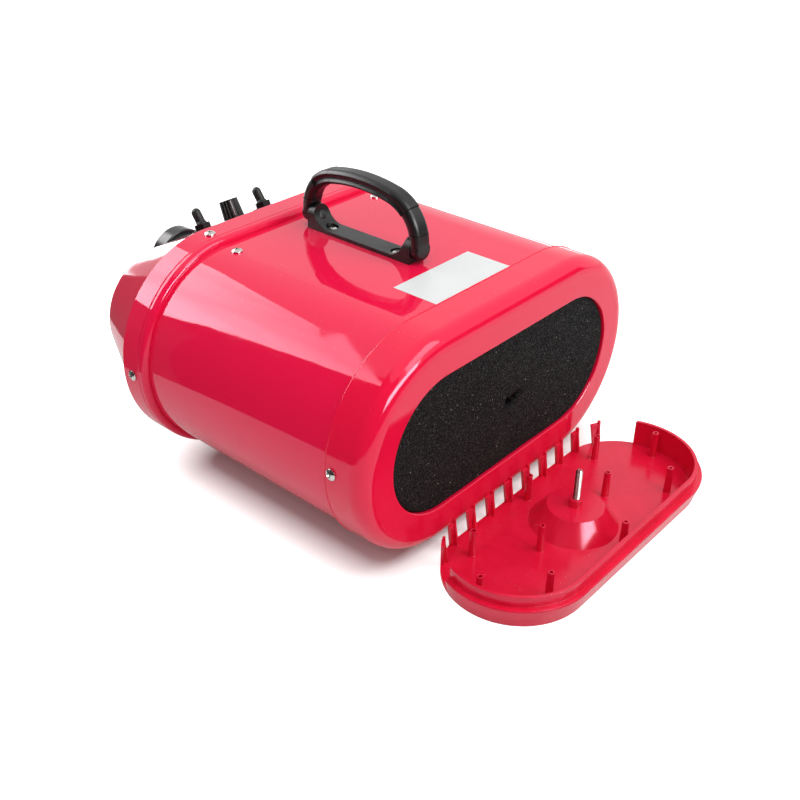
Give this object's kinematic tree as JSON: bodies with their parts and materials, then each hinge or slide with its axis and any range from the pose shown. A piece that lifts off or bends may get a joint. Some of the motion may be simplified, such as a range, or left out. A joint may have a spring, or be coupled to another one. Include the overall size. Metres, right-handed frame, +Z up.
{
  "type": "pet dryer",
  "caption": "Twin-motor pet blower with a folding handle, boot switches, a speed knob, a hose outlet and a detached slotted rear filter cover.",
  "frame": {"origin": "on the surface that the dryer stands on, at the bottom centre of the bounding box of the dryer with its detached cover", "axes": "+Z up, -Y the way the hose outlet blows, +Y the filter side where the detached cover lies, +X the side to the right of someone who looks along +Y; rest pose: handle upright, both switch levers tipped forward, cover lying inner side up"},
  "size_m": [0.3118, 0.4768, 0.2173],
  "materials": {
    "shell_red": "high gloss crimson moulding",
    "black_plastic": "satin black moulding",
    "black_rubber": "matt",
    "foam": "open-cell foam",
    "nickel": "nickel plated",
    "steel": "zinc plated steel",
    "alu": "as cast",
    "brass": "turned",
    "board": "printed circuit board",
    "switch_body": "moulded",
    "winding": "varnished copper winding",
    "carbon": "pressed carbon",
    "label_white": "satin vinyl sticker, blank"
  },
  "bodies": {
    "housing": {"main_shell": "shell_red", "rear_cap": "shell_red", "front_band": "shell_red", "nose_hood": "shell_red", "hose_outlet": "black_plastic", "shell_screws": "nickel", "band_screws": "nickel", "cap_screws": "nickel", "outlet_screws": "nickel", "handle_base": "black_plastic", "handle_screws": "nickel", "handle_pins": "nickel", "blank_label": "label_white", "switch_case_left": "switch_body", "switch_case_right": "switch_body", "switch_washer_left": "steel", "switch_washer_right": "steel", "switch_nut_left": "black_plastic", "switch_nut_right": "black_plastic", "pot_body": "board", "pot_nut": "nickel", "speed_board": "board", "heat_sink": "alu", "motor_plate": "steel", "motor_clamp_plate": "steel", "tie_rods": "steel", "motor_rings": "black_rubber", "fan_can_left": "alu", "fan_can_right": "alu", "motor_frame_left": "alu", "motor_frame_right": "alu", "stator_left": "winding", "stator_right": "winding", "bearings_left": "steel", "bearings_right": "steel", "motor_brushes": "carbon", "filter_sponge": "foam", "filter_grille": "black_plastic", "grille_insert": "brass", "feet": "black_rubber", "foot_screws": "steel", "cable_gland": "black_rubber"},
    "rotor_left": {"rotor_left": "winding", "impeller_left": "alu"},
    "rotor_right": {"rotor_right": "winding", "impeller_right": "alu"},
    "toggle_left": {"switch_lever_left": "nickel", "switch_boot_left": "black_rubber"},
    "toggle_right": {"switch_lever_right": "nickel", "switch_boot_right": "black_rubber"},
    "speed_control": {"speed_knob": "black_plastic", "pot_shaft": "nickel"},
    "handle": {"handle_knuckle_front": "black_plastic", "handle_knuckle_rear": "black_plastic", "handle_arm_front": "black_plastic", "handle_arm_rear": "black_plastic", "handle_grip": "black_plastic"},
    "cover": {"rear_cover": "shell_red"},
    "cover_clamp": {"cover_knob": "black_plastic", "cover_stud": "nickel"}
  },
  "joints": [
    {"name": "rotor_left_spin", "type": "hinge", "parent": "housing", "child": "rotor_left", "pos_m": [-0.066, 0, 0.0865], "axis": [0, -1, 0], "continuous": true},
    {"name": "rotor_right_spin", "type": "hinge", "parent": "housing", "child": "rotor_right", "pos_m": [0.066, 0, 0.0865], "axis": [0, -1, 0], "continuous": true},
    {"name": "toggle_left_tip", "type": "hinge", "parent": "housing", "child": "toggle_left", "pos_m": [-0.032, -0.15422, 0.14744], "axis": [-1, 0, 0], "range_deg": [0, 21]},
    {"name": "toggle_right_tip", "type": "hinge", "parent": "housing", "child": "toggle_right", "pos_m": [0.032, -0.15422, 0.14744], "axis": [-1, 0, 0], "range_deg": [0, 21]},
    {"name": "speed_turn", "type": "hinge", "parent": "housing", "child": "speed_control", "pos_m": [0, -0.1524, 0.14365], "axis": [0, -0.4332, 0.9013], "range_deg": [-105, 195]},
    {"name": "handle_fold", "type": "hinge", "parent": "housing", "child": "handle", "pos_m": [0, -0.0084, 0.175], "axis": [0, 1, 0], "range_deg": [-85, 85]},
    {"name": "cover_slide", "type": "slide", "parent": "housing", "child": "cover", "axis": [0, 1, 0], "range_m": [0, 0.1]},
    {"name": "cover_knob_turn", "type": "hinge", "parent": "cover", "child": "cover_clamp", "pos_m": [-0.011, 0.1834, 0.01], "axis": [0, 0, 1], "continuous": true}
  ]
}
